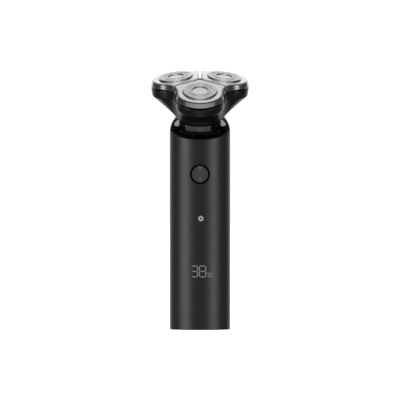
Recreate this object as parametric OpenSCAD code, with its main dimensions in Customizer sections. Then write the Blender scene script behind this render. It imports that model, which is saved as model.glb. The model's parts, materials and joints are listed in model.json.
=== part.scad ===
// Cordless rotary shaver: a round handle with a tilted head that carries three floating lobes.
// Origin: centre of the handle's flat base. +Z runs up the handle, and the front faces -Y.

/* [Handle] */
// Outer diameter of the handle
handle_d = 36.5; // [36:0.1:37]
// Wall thickness of the handle shell
shell_wall = 1.6; // [1.4:0.1:1.7]
// Height on the axis where the shoulder starts to round
shoulder_z = 119.5; // [119:0.1:120]
// Radius of the rounded shoulder, seen from the front
shoulder_r = 11.6; // [11.4:0.1:11.8]
// Depth of the shoulder's front cut, below the head's lower ring
cut_depth = 7.2; // [7:0.1:7.3]

/* [Head] */
// Height of the head's lower ring on the handle's axis
head_z = 129; // [128.8:0.1:129.4]
// Forward tilt of the head
head_tilt = 21; // [20.5:0.1:21.5]
// Radius of the head's lower ring
head_ring_r = 14.5; // [14.4:0.1:14.7]
// Distance from the head's axis to the middle of each shaving unit
lobe_reach = 17; // [16.9:0.1:17.2]
// Height of the shaving surface above the head's lower ring
lobe_rise = 23; // [22.9:0.1:23.4]
// Outward tilt of each lobe
lobe_tilt = 8.5; // [8:0.1:9]
// Radius of a lobe's round outer side
lobe_r = 14.5; // [14.3:0.1:14.6]
// Outward shift of that round side from the middle of the shaving unit
lobe_shift = 1.2; // [1:0.1:1.4]
// Distance from the head's axis to the valleys between the lobes
valley_reach = 19.4; // [19.2:0.1:19.6]

/* [Shaving units] */
// Radius of the slotted guard
guard_r = 10.3; // [10.2:0.05:10.35]
// How far the guard can sink
float_travel = 0.8; // [0.5:0.1:0.8]
// Slots in the guard's outer track
outer_slots = 24; // [18:1:30]
// Slots in the guard's inner track
inner_slots = 16; // [12:1:20]

/* [Controls] */
// Distance of the charging port behind the handle's axis
port_y = 7; // [6:0.5:8]
// Height of the power button
button_z = 93.8; // [90:0.1:96]
// Radius of the power button
button_r = 4.9; // [4.6:0.1:5]
// Button travel
button_travel = 0.5; // [0.3:0.1:0.5]
// Height of the status icon
icon_z = 67.1; // [60:0.1:70]
// Height of the display's middle
display_z = 35.3; // [34:0.1:38]
// Height of a display digit
digit_h = 7.1; // [6.8:0.1:7.6]
// Width of a display digit
digit_w = 4.3; // [4:0.1:4.4]
// Width of a display stroke
stroke_w = 0.55; // [0.5:0.05:0.7]

/* [Hidden] */

$fn = 64;
eps = 0.01;
handle_r = handle_d / 2;
inner_r = handle_r - shell_wall;
fit = 0.05;                     // clearance between parts that are assembled and stay put
run = 0.06;                     // radial clearance of a running shaft

// The drive: a central pinion, with a multiple of three teeth, turns the three wheels
gear_module = 0.8;
pinion_teeth = 15;
wheel_teeth = 25;
axle_reach = gear_module * (pinion_teeth + wheel_teeth) / 2;

// Heights along the head's axis, from the head's lower ring
neck_recess = 0.25;             // step from the shell's rim down to the glossy neck
neck_top = -0.5;
socket_floor = -4.4;
bulkhead_bottom = -8.2;
can_top = -8.3;
can_bottom = -25.5;
end_cap_bottom = -27;
floor_bottom = 8.6;
floor_top = 10;
gear_bottom = 10.9;
gear_top = 12.7;
gear_hub_top = 14.25;
gear_hub_r = 3.4;
cover_bottom = 13.2;
cover_top = 14.2;

// Levels in a lobe's own frame, measured down from the shaving surface
rim_level = -1.1;
lip_level = -2.4;
bezel_bottom = -5.3;
carrier_top = -4.4;
carrier_bottom = -5.2;
skirt_bottom = -7;
base_top_level = -6.3;
crease_level = -10.2;

// Half of the gap between two lobes, in the plane of their shaving surfaces. It closes as the lobes go down.
wedge_gap = 1.05;
pivot_level = -(lobe_reach - axle_reach) / sin(lobe_tilt);
pivot_rise = lobe_rise + pivot_level * cos(lobe_tilt);
pin_r = 0.85;                   // a lobe tilts on two pins of this radius
pin_boss_r = 1.3;
ear_x = 10.6;                   // the gear cover's ears, and the carrier's blocks inside them
ear_w = 1;
pin_block_x = 9;
pin_block_w = 1.4;
cover_screw_reach = 13.6;
magnet_reach = 8.6;
motor_screw_x = 5.1;
base_screw_x = 10.4;
socket_r = 10.7;                // recess in the neck that takes the head's spigot
spigot_r = 10.5;
shaft_hole_r = 3.85;
collar_r = 13;
flare_r = 1.8;
motor_r = 7.75;
motor_flat = 6;
board_y = -11.2;                // front face of the main board
board_t = 1;
battery_r = 7.1;
battery_y = 8.2;

// ---------- frames ----------
module head_frame() translate([0, 0, head_z]) rotate([head_tilt, 0, 0]) children();
module around_head(k) head_frame() rotate([0, 0, 120 * k]) children();
module lobe_frame(k) around_head(k)
    translate([0, -lobe_reach, lobe_rise]) rotate([lobe_tilt, 0, 0]) children();
module at_axle(k) around_head(k) translate([0, -axle_reach, 0]) children();

// ---------- shared shapes ----------
module tube(r_out, r_in, z0, z1) translate([0, 0, z0]) difference() {
    cylinder(r = r_out, h = z1 - z0);
    translate([0, 0, -1]) cylinder(r = r_in, h = z1 - z0 + 2);
}
module disc(r, z0, z1) translate([0, 0, z0]) cylinder(r = r, h = z1 - z0);
module block(x0, x1, y0, y1, z0, z1) translate([x0, y0, z0]) cube([x1 - x0, y1 - y0, z1 - z0]);
// A hexagonal bar, sized across its flats
module hex_bar(flats, z0, z1) translate([0, 0, z0]) cylinder(r = flats / sqrt(3), h = z1 - z0, $fn = 6);
// A straight round wire between two points
module wire(a, b, r) {
    d = b - a;
    length = norm(d);
    translate(a) rotate([0, acos(d.z / length), atan2(d.y, d.x)]) cylinder(r = r, h = length);
}

function polar(a) = [cos(a), sin(a)];
function mean(ring) = [for (i = [0:2]) sum([for (p = ring) p[i]]) / len(ring)];
function sum(v, i = 0) = i < len(v) ? v[i] + sum(v, i + 1) : 0;
// A closed solid through a stack of rings that have the same number of points
module skin(rings) {
    n = len(rings[0]);
    last = len(rings) - 1;
    points = [for (ring = rings) each ring, mean(rings[0]), mean(rings[last])];
    low = n * (last + 1);
    high = low + 1;
    faces = [
        for (i = [0:last - 1], j = [0:n - 1])
            let (a = i * n + j, b = i * n + (j + 1) % n)
            each [[a, a + n, b + n], [a, b + n, b]],
        for (j = [0:n - 1]) [low, j, (j + 1) % n],
        for (j = [0:n - 1]) [high, last * n + (j + 1) % n, last * n + j]
    ];
    polyhedron(points, faces, convexity = 6);
}

// ---------- handle shoulder ----------
dome_points = 84;
// One ring of the shoulder: it leans with the head, so the back stands higher than the front
function dome_ring(r0, rf, turn) =
    let (r = r0 - rf * (1 - cos(turn)), z = shoulder_z + rf * sin(turn))
    [for (i = [0:dome_points - 1]) let (a = 360 * i / dome_points)
        [r * cos(a), r * sin(a), z + r * sin(a) * tan(head_tilt)]];
function flat_ring(r, z) =
    [for (i = [0:dome_points - 1]) let (a = 360 * i / dome_points) [r * cos(a), r * sin(a), z]];
dome_start = 104;               // the plain round wall ends here
thin_out = 0.6;                 // the shell's wall thins as the shoulder closes in
seam_step = 0.02;               // the shoulder's facets stay this far inside the round wall below it
module dome(inset) let (r = handle_r - inset - seam_step) skin([
    flat_ring(r, dome_start - 4),
    for (turn = [0:7:56]) dome_ring(r, shoulder_r + thin_out * inset, turn)
]);

// The space cut out of the front of the shoulder, enlarged by grow: a floor, a back wall and a fillet
cut_back = -1.5;
cut_fillet = 4.5;
module front_cut(grow) head_frame() rotate([90, 0, 90]) linear_extrude(height = 60, center = true) {
    back = cut_back + grow;
    level = -cut_depth - grow;
    polygon([
        [-40, level],
        for (a = [270:10:360]) [back - cut_fillet, level + cut_fillet] + cut_fillet * polar(a),
        [back, 30],
        [-40, 30]
    ]);
}

// ---------- display ----------
// Corners of one seven-segment stroke of length l, with pointed ends
function stroke(l) = let (h = stroke_w / 2)
    [[-l / 2, 0], [-l / 2 + h, -h], [l / 2 - h, -h], [l / 2, 0], [l / 2 - h, h], [-l / 2 + h, h]];
// Strokes are numbered from the top: top, upper right, lower right, bottom, lower left, upper left, middle
module digit(strokes) {
    w = digit_w - stroke_w;
    h = (digit_h - stroke_w) / 2;
    places = [[0, h, 0], [w / 2, h / 2, 90], [w / 2, -h / 2, 90], [0, -h, 0],
              [-w / 2, -h / 2, 90], [-w / 2, h / 2, 90], [0, 0, 0]];
    for (s = strokes) translate([places[s].x, places[s].y]) rotate(places[s].z)
        polygon(stroke(places[s].z == 0 ? w - 0.7 : h - 0.12));
}
digit_pitch = 4.87;
module readout_shape() translate([-0.88, 0]) {
    translate([-digit_pitch / 2, 0]) digit([0, 1, 2, 3, 6]);
    translate([digit_pitch / 2, 0]) digit([0, 1, 2, 3, 4, 5, 6]);
    translate([6.7, -2.1]) {
        rotate(50) square([3.6, 0.45], center = true);
        for (s = [-1, 1]) translate([-s, s * 0.95]) circle(r = 0.45, $fn = 24);
    }
}
// A small gear wheel with six teeth
module icon_shape() {
    circle(r = 1.25, $fn = 32);
    for (i = [0:5]) rotate(60 * i + 30) translate([1.25, 0]) square([0.8, 0.75], center = true);
}
// Turns a flat shape into a light guide that reaches the handle's front surface
module through_front(z, x = 0, from = -14.2) intersection() {
    translate([x, 0, z]) rotate([90, 0, 0]) translate([0, 0, -from]) linear_extrude(height = 6) children();
    cylinder(r = handle_r + 0.02, h = 120, $fn = 128);
}

// ---------- handle parts ----------
module body_shell() color("#262626") difference() {
    union() {
        rotate_extrude($fn = 128) polygon([[0, 0], [handle_r - 0.5, 0], [handle_r, 0.5],
                                           [handle_r, dome_start], [0, dome_start]]);
        dome(0);
    }
    translate([0, 0, -1]) cylinder(r = inner_r, h = dome_start + 1.01, $fn = 128);
    dome(shell_wall);
    front_cut(0);
    head_frame() {
        disc(40, neck_top - 0.1, 20);
        disc(collar_r + 0.15, -8, 20);
    }
    translate([0, 0, button_z]) rotate([90, 0, 0]) cylinder(r = button_r + 1.2, h = 30);
    through_front(display_z) readout_shape();
    through_front(icon_z, 0.5) icon_shape();
}

// The concave flare from the collar down to the floor of the cut
module collar_flare() {
    centre = [collar_r + flare_r, flare_r - cut_depth - neck_recess];
    rotate_extrude($fn = 96) polygon([
        [0, bulkhead_bottom],
        [centre.x, bulkhead_bottom],
        for (a = [270:-10:180]) centre + flare_r * polar(a),
        [0, centre.y]
    ]);
}
module neck_housing() color("#0c0c0c") difference() {
    union() {
        difference() {
            intersection() {
                dome(shell_wall + fit);
                head_frame() disc(30, bulkhead_bottom, neck_top);
            }
            front_cut(neck_recess);
        }
        intersection() {
            dome(shell_wall + fit);
            head_frame() collar_flare();
        }
        head_frame() disc(collar_r, -6, neck_top);
    }
    head_frame() {
        disc(30, neck_top, 20);
        disc(socket_r, socket_floor, 5);
        disc(shaft_hole_r, socket_floor - 2, 0);
        disc(2.6, -12, 0);
        for (a = [90, 210, 330]) rotate([0, 0, a])
            translate([magnet_reach, 0, 0]) disc(1.65, socket_floor - 1.85, 0);
        for (s = [-1, 1]) translate([motor_screw_x * s, 0, 0]) {
            disc(0.85, -12, 0);
            disc(1.3, socket_floor - 1.1, 0);
        }
    }
}

module base_cap() color("#1f1f1f") difference() {
    rotate_extrude($fn = 128) polygon([[0, 0], [16.1, 0], [16.5, 0.4], [16.5, 8], [0, 8]]);
    difference() {
        disc(14, 3, 9);
        for (s = [-1, 1]) translate([base_screw_x * s, 0, 0]) disc(2.8, 0, 9);
    }
    tube(18, 15.15, 4.6, 6.4);
    for (s = [-1, 1]) translate([base_screw_x * s, 0, 0]) {
        disc(1.1, -1, 9);
        disc(2, -1, 1.8);
    }
    translate([0, port_y, 0]) stadium(9.1, 3.3, -1, 9);
}
// A bar with a stadium section, centred on the axis
module stadium(width, depth, z0, z1) translate([0, 0, z0]) linear_extrude(height = z1 - z0) {
    for (s = [-1, 1]) translate([s * (width - depth) / 2, 0]) circle(d = depth, $fn = 32);
    square([width - depth, depth], center = true);
}
module base_seal() color("#101010") translate([0, 0, 5.5])
    rotate_extrude($fn = 96) translate([15.87, 0]) circle(r = 0.7, $fn = 24);
module base_screws() color("silver") for (s = [-1, 1]) translate([base_screw_x * s, 0, 0]) difference() {
    union() {
        disc(1.9, 0.4, 1.75);
        disc(0.95, 1.7, 14);
    }
    hex_bar(1.5, -1, 1.2);
}
module usb_port() color("silver") translate([0, port_y, 0]) difference() {
    stadium(9, 3.2, 0.3, 8.4);
    stadium(8.4, 2.6, -1, 7.6);
}
module usb_tongue() color("#202020") translate([0, port_y, 0]) {
    block(-3.3, 3.3, -0.35, 0.35, 1.6, 7.6);
    stadium(8.3, 2.5, 6.6, 7.55);
}
module charge_board() color("#0f3d24") block(-7, 7, port_y - 5, port_y + 5, 8.45, 9.45);

module button_ring() color("#070707") translate([0, 0, button_z]) rotate([90, 0, 0])
    tube(button_r + 1.15, button_r + 0.15, 14.6, 17.05);
module power_button() color("#3c3c3c") translate([0, 0, button_z]) rotate([90, 0, 0]) {
    rotate_extrude($fn = 96) polygon([
        [0, 14.55], [2, 14.55], [2, 15.1], [button_r, 15.1], [button_r, 17.8],
        [button_r - 0.2, 18], [button_r - 0.7, 18.02], [0, 17.94]
    ]);
}
module button_seal() color("#151515") translate([0, 0, button_z]) rotate([90, 0, 0]) disc(6.6, 13.6, 14);
module tact_switch() color("#333333") translate([0, 0, button_z]) {
    block(-3, 3, board_y - 1.8, board_y, -3, 3);
    rotate([90, 0, 0]) disc(1.6, -board_y, 13.5);
}
module main_board() color("#0f3d24") difference() {
    block(-10, 10, board_y, board_y + board_t, 21, 104);
    for (x = [-8, 8], z = [24, 100]) translate([x, 0, z])
        rotate([90, 0, 0]) cylinder(r = 1, h = 30, center = true);
}
module board_chips() color("#1a1a1a") {
    block(-3.5, 3.5, board_y - 1, board_y, 52, 59);
    block(-2, 2, board_y - 0.9, board_y, 74, 78);
    for (i = [0:4]) block(5.4, 6.8, board_y - 0.7, board_y, 50 + 3 * i, 51.6 + 3 * i);
    for (i = [0:3]) block(-7.4, -5.8, board_y - 0.7, board_y, 66 + 3 * i, 67.2 + 3 * i);
    translate([5.6, board_y, 82]) rotate([90, 0, 0]) cylinder(r = 2, h = 2.2);
}
module display_module() color("#e8e8e8") translate([0, 0, display_z])
    block(-8, 8, board_y - 2.4, board_y, -5.4, 5.4);
module display_light_guide() color("#d8dde0") {
    through_front(display_z) readout_shape();
    block(-7.4, 7.6, -14.25, -13.65, display_z - 4.6, display_z + 4.6);
}
module status_light_guide() color("#d8dde0") difference() {
    union() {
        through_front(icon_z, 0.5) icon_shape();
        translate([0.5, 0, icon_z]) rotate([90, 0, 0]) disc(2.4, -board_y, 14.3);
    }
    translate([0.5, 0, icon_z]) rotate([90, 0, 0]) disc(0.7, handle_r - 0.4, 20);
}

module battery() color("#2f5d8a") translate([0, battery_y, 0]) {
    disc(battery_r, 14.4, 64.4);
    disc(2.6, 64.4, 65.2);
}
module inner_frame() color("#3a3a3a") difference() {
    union() {
        block(-11, 11, -9.6, -8, 11, 100);
        for (z = [17, 38, 58]) difference() {
            disc(inner_r - 0.25, z, z + 3);
            block(-20, 20, -20, -9.6, 0, 90);
        }
        for (x = [-8, 8], z = [24, 100]) translate([x, 0, z]) rotate([90, 0, 0])
            translate([0, 0, 9.4]) cylinder(r = 1.8, h = 0.8 - eps);
        for (s = [-1, 1]) {
            translate([base_screw_x * s, 0, 0]) disc(2.6, 8.2, 17.5);
            translate([base_screw_x * s, 0, 0]) block(-0.8, 0.8, -8.5, -1, 11, 17.5);
        }
    }
    translate([0, battery_y, 0]) disc(battery_r + 0.1, 13, 66);
    block(-5, 5, battery_y + 4, 20, 10, 70);
    for (s = [-1, 1]) translate([base_screw_x * s, 0, 0]) disc(0.97, 7, 18.5);
    block(-4, 4, -12, -6, 66, 90);
}

// ---------- motor, in line with the head ----------
module motor_outline(r, flat, z0, z1) intersection() {
    disc(r, z0, z1);
    block(-r - 1, r + 1, -flat, flat, z0, z1);
}
module motor_can() color("#9a9a9a") head_frame() difference() {
    motor_outline(motor_r, motor_flat, can_bottom, can_top);
    motor_outline(motor_r - 0.6, motor_flat - 0.6, can_bottom - 1, can_top - 0.6);
    disc(2.55, -12, -7);
    for (s = [-1, 1]) translate([motor_screw_x * s, 0, 0]) disc(0.75, -12, -7);
}
module motor_magnets() color("#4a4a4a") head_frame() for (s = [-1, 1]) intersection() {
    tube(motor_r - 0.65, 5.7, can_bottom + 1.5, can_top - 2.2);
    block(s < 0 ? -8 : 2, s < 0 ? -2 : 8, -motor_flat + 0.7, motor_flat - 0.7, -30, 0);
}
module motor_end_cap() color("#202020") head_frame() difference() {
    motor_outline(motor_r, motor_flat, end_cap_bottom, can_bottom);
    disc(2.55, -30, -20);
}
module motor_bushes() color("#b08d4c") head_frame() {
    tube(2.5, 1 + run, -9.8, can_top + 0.02);
    tube(2.5, 1 + run, end_cap_bottom + 0.1, can_bottom - 0.1);
}
module motor_screws() color("silver") head_frame() for (s = [-1, 1]) translate([motor_screw_x * s, 0, 0])
    difference() {
        union() {
            disc(1.25, socket_floor - 1.05, socket_floor - 0.1);
            disc(0.7, -9.1, socket_floor - 1);
        }
        hex_bar(1, socket_floor - 0.6, 0);
    }
module motor_rotor() color("#a5642c") head_frame() difference() {
    union() {
        for (k = [0:2]) rotate([0, 0, 120 * k + 90]) {
            intersection() {
                tube(5.1, 4.2, -21.5, -12);
                block(0, 6, -3.4, 3.4, -22, -11);
            }
            block(0, 4.3, -1.1, 1.1, -21.5, -12);
            block(1.6, 3.9, -1.9, 1.9, -22.3, -11.2);
        }
        disc(2.2, -24.9, -10.6);
    }
    disc(1, -30, 0);
}
module motor_shaft() color("silver") head_frame() disc(1, end_cap_bottom - 0.6, 1);
module shaft_seal() color("#151515") head_frame()
    tube(shaft_hole_r - fit, 1 + run, socket_floor - 1.95, socket_floor - 0.2);
module drive_dog() color("#e6e6e6") head_frame() difference() {
    union() {
        disc(2.9, -4.1, -3.6);
        hex_bar(3, -3.7, 2.4);
        translate([0, 0, 2.4]) cylinder(r1 = 1.5, r2 = 0.8, h = 0.6);
    }
    disc(1, -5, 1);
}
module neck_magnets() color("#8f9396") head_frame() for (a = [90, 210, 330])
    rotate([0, 0, a]) translate([magnet_reach, 0, 0]) disc(1.6, socket_floor - 1.8, socket_floor - 0.1);
// The cell's two tabs, with the wires that are soldered to them and to the motor
module lead_wires() {
    color("silver") translate([0, battery_y, 0]) {
        block(-2, 2, -6, 4, 14.1, 14.39);
        block(-2, 2, -6, 4, 65.21, 65.5);
    }
    color("#b02020") {
        wire([3, 9.2, 102.6], [4, -4, 98], 0.5);
        wire([1, 3.3, 66], [4, -6.5, 72], 0.5);
    }
    color("#181818") {
        wire([-3, 9.2, 102.6], [-4, -4, 98], 0.5);
        wire([0, 0.4, 13.4], [-6, -6.9, 13], 0.5);
    }
}

// ---------- head outline ----------
arc_steps = 9;
// Plan of the three-lobed outline about the head's axis, for one lobe that points along -Y.
// centre: distance to the lobe's round side, valley: distance to the valley, inset: amount inside the outline
function blend_centre(centre, valley) =
    (pow(centre, 2) - pow(lobe_r - valley, 2)) / (centre + 2 * (lobe_r - valley));
function blend_turn(centre, valley) =
    let (q = blend_centre(centre, valley)) atan2(centre - q / 2, q * sqrt(3) / 2);
// Half of a lobe, from its valley at -30 degrees to its tip at -90 degrees
function half_lobe(centre, valley, inset) =
    let (
        q = blend_centre(centre, valley),
        middle = q * polar(-30),
        turn = blend_turn(centre, valley),
        far = q - valley + inset
    ) [
        for (i = [0:arc_steps - 1]) middle - far * polar(-30 + (turn + 30) * i / arc_steps),
        for (i = [0:arc_steps]) [0, -centre] + (lobe_r - inset) * polar(turn - (90 + turn) * i / arc_steps)
    ];
function mirrored(points) = [for (i = [len(points) - 2:-1:1]) [-points[i].x, points[i].y]];
function spin(p, a) = [p.x * cos(a) - p.y * sin(a), p.x * sin(a) + p.y * cos(a)];
// The whole trefoil, anticlockwise
function trefoil(centre, valley, inset) =
    let (
        half = half_lobe(centre, valley, inset),
        lobe = [each half, each mirrored(half), [-half[0].x, half[0].y]],
        run_back = [for (i = [len(lobe) - 1:-1:1]) lobe[i]]
    )
    [for (k = [0:2]) each [for (p = run_back) spin(p, 120 * k)]];
// Height of a lobe's tilted level above a plan point
function level_height(p, level) =
    let (along = max([for (k = [0:2]) p * spin([0, -1], 120 * k)]))
    lobe_rise + (level + sin(lobe_tilt) * (lobe_reach - along)) / cos(lobe_tilt);
// One ring of the head's outer wall at a tilted level; the plan closes in as the level drops
function wall_ring(level, inset) =
    let (shift = level * sin(lobe_tilt))
    [for (p = trefoil(lobe_reach + lobe_shift + shift, valley_reach + 0.45 * shift, inset))
        [p.x, p.y, level_height(p, level)]];
function round_ring(r, z) = [for (p = wall_ring(crease_level, 0))
    let (a = atan2(p.y, p.x)) [r * cos(a), r * sin(a), z]];

// ---------- head base ----------
base_wall = 1.5;
module base_outside() skin([
    round_ring(head_ring_r - 0.5, 0), round_ring(head_ring_r, 0.5),
    wall_ring(crease_level - 0.5, 1), wall_ring(crease_level, 0.3), wall_ring(crease_level + 0.7, 0),
    wall_ring(base_top_level - 0.3, 0), wall_ring(base_top_level, 0.3)
]);
module base_inside() skin([
    round_ring(head_ring_r - 2.4, 1.6), wall_ring(crease_level + 1, base_wall + 0.6),
    wall_ring(crease_level + 2.2, base_wall), wall_ring(-2, base_wall)
]);
module head_base() color("#1b1b1b") head_frame() difference() {
    union() {
        difference() {
            base_outside();
            base_inside();
        }
        intersection() {
            base_inside();
            union() {
                disc(40, floor_bottom, floor_top);
                for (k = [0:2]) rotate([0, 0, 120 * k - 30])
                    translate([cover_screw_reach, 0, 0]) disc(2.2, 6, cover_bottom);
            }
        }
        disc(5.6, 7.4, floor_top);
        disc(spigot_r, -3.2, 1.8);
    }
    disc(8.5, -5, 5);
    disc(4.5, 5, 12);
    for (k = [0:2]) rotate([0, 0, 120 * k]) {
        translate([0, -axle_reach, 0]) disc(1.8 + run, 5, 12);
        rotate([0, 0, -30]) translate([cover_screw_reach, 0, 0]) disc(0.82, floor_top + 0.4, 20);
    }
}
module keeper_ring() color("#8c8c8c") head_frame() tube(10.4, 8.6, -4, -3.2);
module pinion_bush() color("#b08d4c") head_frame() difference() {
    union() {
        disc(4.5 - eps, 7.5, floor_top + 0.3);
        disc(5.2, 7, 7.4);
        disc(4.5 - eps, 7.3, 7.6);
    }
    disc(3 + run, 5, 12);
}

// ---------- gears ----------
pressure = 20;
function involute(a) = tan(a) * 180 / PI - a;
// Half the angle of a tooth at radius r, in degrees; the teeth are cut 0.06 mm thin for backlash
function tooth_half(teeth, r) =
    let (pitch = gear_module * teeth / 2, base = pitch * cos(pressure))
    90 / teeth - 0.06 * 90 / PI / pitch + involute(pressure) - involute(acos(min(1, base / r)));
module toothed(teeth, z0, z1) {
    pitch = gear_module * teeth / 2;
    tip = pitch + 0.92 * gear_module;
    root = pitch - 1.25 * gear_module;
    base = max(root + 0.05, pitch * cos(pressure));
    radii = [root, base, (base + pitch) / 2, pitch, (pitch + tip) / 2, tip];
    flank = [for (r = radii) [r, tooth_half(teeth, max(r, base))]];
    translate([0, 0, z0]) linear_extrude(height = z1 - z0) polygon([
        for (i = [0:teeth - 1]) let (a = 360 * i / teeth) each [
            for (f = flank) f[0] * [cos(a - f[1]), sin(a - f[1])],
            for (j = [len(flank) - 1:-1:0]) flank[j][0] * [cos(a + flank[j][1]), sin(a + flank[j][1])]
        ]
    ]);
}
module drive_pinion() color("#e9e4d6") head_frame() difference() {
    union() {
        rotate([0, 0, -90]) toothed(pinion_teeth, gear_bottom, gear_top);
        disc(3, -3.4, gear_bottom + 0.1);
        disc(4.6, floor_top + 0.4, gear_bottom + 0.1);
        disc(1.5, gear_top - 0.1, cover_top);
    }
    hex_bar(3.4, -5, 3.6);
}
module driven_gear(k) color("#e9e4d6") at_axle(k) difference() {
    union() {
        rotate([0, 0, 90 + 180 / wheel_teeth]) toothed(wheel_teeth, gear_bottom, gear_top);
        disc(1.8, 8.7, gear_bottom + 0.1);
        disc(gear_hub_r, floor_top + 0.2, gear_hub_top);
    }
    hex_bar(3.7, 10.4, 20);
    for (i = [0:4]) rotate([0, 0, 72 * i]) translate([6.2, 0, 0]) disc(1.5, 8, 14);
}
module gear_cover() color("#2b2b2b") head_frame() difference() {
    union() {
        disc(9, cover_bottom, cover_top);
        for (k = [0:2]) rotate([0, 0, 120 * k]) {
            translate([0, -axle_reach, 0]) disc(12, cover_bottom, cover_top);
            rotate([0, 0, -30]) translate([cover_screw_reach, 0, 0]) disc(2.1, cover_bottom, cover_top);
            for (s = [-1, 1]) translate([ear_x * s, -axle_reach, 0]) {
                translate([0, 0, pivot_rise])
                    rotate([0, 90, 0]) cylinder(r = pin_boss_r, h = ear_w, center = true);
                block(-ear_w / 2, ear_w / 2, -pin_boss_r, pin_boss_r, cover_top - 0.5, pivot_rise);
            }
        }
    }
    disc(1.5 + run, 5, 20);
    for (k = [0:2]) rotate([0, 0, 120 * k]) {
        translate([0, -axle_reach, 0]) disc(gear_hub_r + run, 5, 20);
        rotate([0, 0, -30]) translate([cover_screw_reach, 0, 0]) disc(0.85, 5, 20);
        translate([0, -axle_reach, pivot_rise])
            rotate([0, 90, 0]) cylinder(r = pin_r + run, h = 40, center = true);
    }
}
module cover_screws() color("silver") for (k = [0:2])
    around_head(k) rotate([0, 0, -30]) translate([cover_screw_reach, 0, 0]) difference() {
        union() {
            disc(0.8, floor_top + 0.6, cover_top + 0.1);
            disc(1.4, cover_top, cover_top + 0.9);
        }
        hex_bar(1, cover_top + 0.5, 20);
    }
module spindle(k) color("#dcdcdc") at_axle(k) union() {
    hex_bar(3.4, 12, 14.9);
    disc(1.1, 14.8, pivot_rise);
    intersection() {
        hex_bar(3, pivot_rise - 1, pivot_rise + 1);
        translate([0, 0, pivot_rise]) sphere(r = 1.75);
    }
}
module spindle_spring(k) color("silver") at_axle(k) for (i = [0:2]) translate([0, 0, 10.65 + 0.5 * i])
    rotate_extrude($fn = 32) translate([1.35, 0]) circle(r = 0.2, $fn = 16);

// ---------- lobes ----------
// Outline of one lobe in its own tilted plane, anticlockwise, with a rounded inner point.
// inset is measured from its round outer side, and flank from its two straight sides.
nose_r = 2.4;
function lobe_outline(inset, flank) =
    let (
        centre = lobe_reach + lobe_shift,
        q = blend_centre(centre, valley_reach),
        far = q - valley_reach + inset,
        side = wedge_gap + flank,
        dip = asin(side / far),
        turn = blend_turn(centre, valley_reach),
        start = -30 + dip,
        nose = [0, -(side + nose_r) * 2 / sqrt(3)],
        half = [
            for (i = [0:3]) nose + nose_r * polar(84 - 8 * i),
            for (i = [0:arc_steps - 1])
                q * polar(-30) - far * polar(start + (turn - start) * i / arc_steps),
            for (i = [0:arc_steps])
                [0, -centre] + (lobe_r - inset) * polar(turn - (90 + turn) * i / arc_steps)
        ],
        left = [for (i = [len(half) - 2:-1:0]) [-half[i].x, half[i].y]],
        loop = [each half, each left]
    ) [for (i = [len(loop) - 1:-1:0]) loop[i] + [0, lobe_reach]];
function lobe_ring(inset, flank, level) = [for (p = lobe_outline(inset, flank)) [p.x, p.y, level]];
module lobe_slab(inset, flank, z0, z1)
    translate([0, 0, z0]) linear_extrude(height = z1 - z0) polygon(lobe_outline(inset, flank));

module bezel(k) color("#d9dadb") lobe_frame(k) difference() {
    skin([
        lobe_ring(0.15, 0.15, bezel_bottom), lobe_ring(0, 0, bezel_bottom + 0.25),
        lobe_ring(0.95, 0.05, rim_level - 0.9), lobe_ring(1.25, 0.12, rim_level - 0.25),
        lobe_ring(1.6, 0.3, rim_level)
    ]);
    lobe_slab(2.05, 1.2, bezel_bottom - 1, lip_level);
    disc(guard_r + 0.25, -6, 1);
}
module lobe_carrier(k) color("#1d1d1d") lobe_frame(k) difference() {
    union() {
        lobe_slab(2.2, 1.35, carrier_bottom, carrier_top);
        difference() {
            lobe_slab(2.2, 1.35, skirt_bottom, carrier_bottom + 0.1);
            lobe_slab(3.1, 2.25, skirt_bottom - 1, carrier_bottom + 0.2);
            block(-3, 3, 6, 20, skirt_bottom - 1, carrier_bottom - eps);
        }
        for (s = [-1, 1]) translate([pin_block_x * s, 0, 0]) {
            translate([-pin_block_w / 2, -pin_boss_r, pivot_level])
                cube([pin_block_w, 2 * pin_boss_r, carrier_bottom + 0.1 - pivot_level]);
            translate([0, 0, pivot_level]) rotate([0, 90, 0]) {
                cylinder(r = pin_boss_r, h = pin_block_w, center = true);
                translate([0, 0, 1.2 * s]) cylinder(r = pin_r, h = 2, center = true);
            }
        }
    }
    disc(7.4, -12, 0);
}
module guard(k) color("#cfd2d4") lobe_frame(k) difference() {
    rotate_extrude($fn = 96) polygon([
        [0, -1.1], [5.1, -1.1], [5.1, -0.55], [guard_r - 0.65, -0.55], [guard_r - 0.65, -3.3],
        [guard_r + 1.1, -3.3], [guard_r + 1.1, lip_level - 0.1], [guard_r, lip_level - 0.1],
        [guard_r, -0.55], [guard_r - 0.25, -0.15], [guard_r - 0.7, 0], [7.75, 0.02], [7.62, -0.35],
        [7.22, -0.35], [7.1, 0.05], [5.1, 0.08], [4.85, -0.1], [4.75, -0.8], [0, -0.8]
    ]);
    for (i = [0:outer_slots - 1]) rotate([0, 0, 360 * i / outer_slots])
        translate([8.75, 0, 0]) cube([1.7, 0.3, 1.6], center = true);
    for (i = [0:inner_slots - 1]) rotate([0, 0, 360 * i / inner_slots])
        translate([6.15, 0, 0]) cube([1.3, 0.3, 1.6], center = true);
}
module guard_cap(k) color("#e3e4e5") lobe_frame(k) rotate_extrude($fn = 64)
    polygon([[0, -0.8], [4.65, -0.8], [4.65, -0.72], [4.4, -0.62], [2, -0.5], [0, -0.48]]);
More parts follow.
